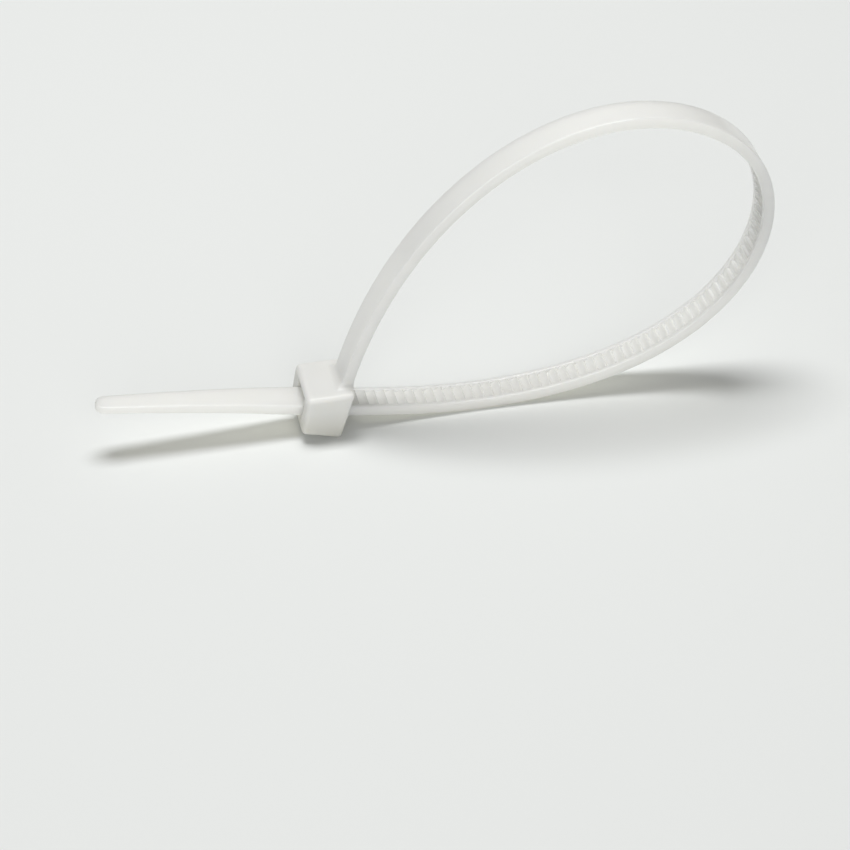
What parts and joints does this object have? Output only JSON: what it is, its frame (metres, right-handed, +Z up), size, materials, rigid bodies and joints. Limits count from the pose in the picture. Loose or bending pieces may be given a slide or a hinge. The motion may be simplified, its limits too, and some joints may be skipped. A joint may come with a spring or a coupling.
{
  "type": "cable tie",
  "caption": "One-piece nylon cable tie, tail drawn through its ratchet head, standing as an open pear-shaped loop",
  "frame": {"origin": "on the surface that the tie stands on, under the middle of its bounding box", "axes": "+X from the tail to the far end of the loop, +Y across the strap and away from the camera, +Z up; the loop stands in the XZ plane"},
  "size_m": [0.0508, 0.005, 0.0241],
  "materials": {
    "nylon": "natural nylon, milky and slightly see-through, semi-gloss"
  },
  "bodies": {
    "root": {"cable_tie": "nylon"}
  },
  "joints": []
}
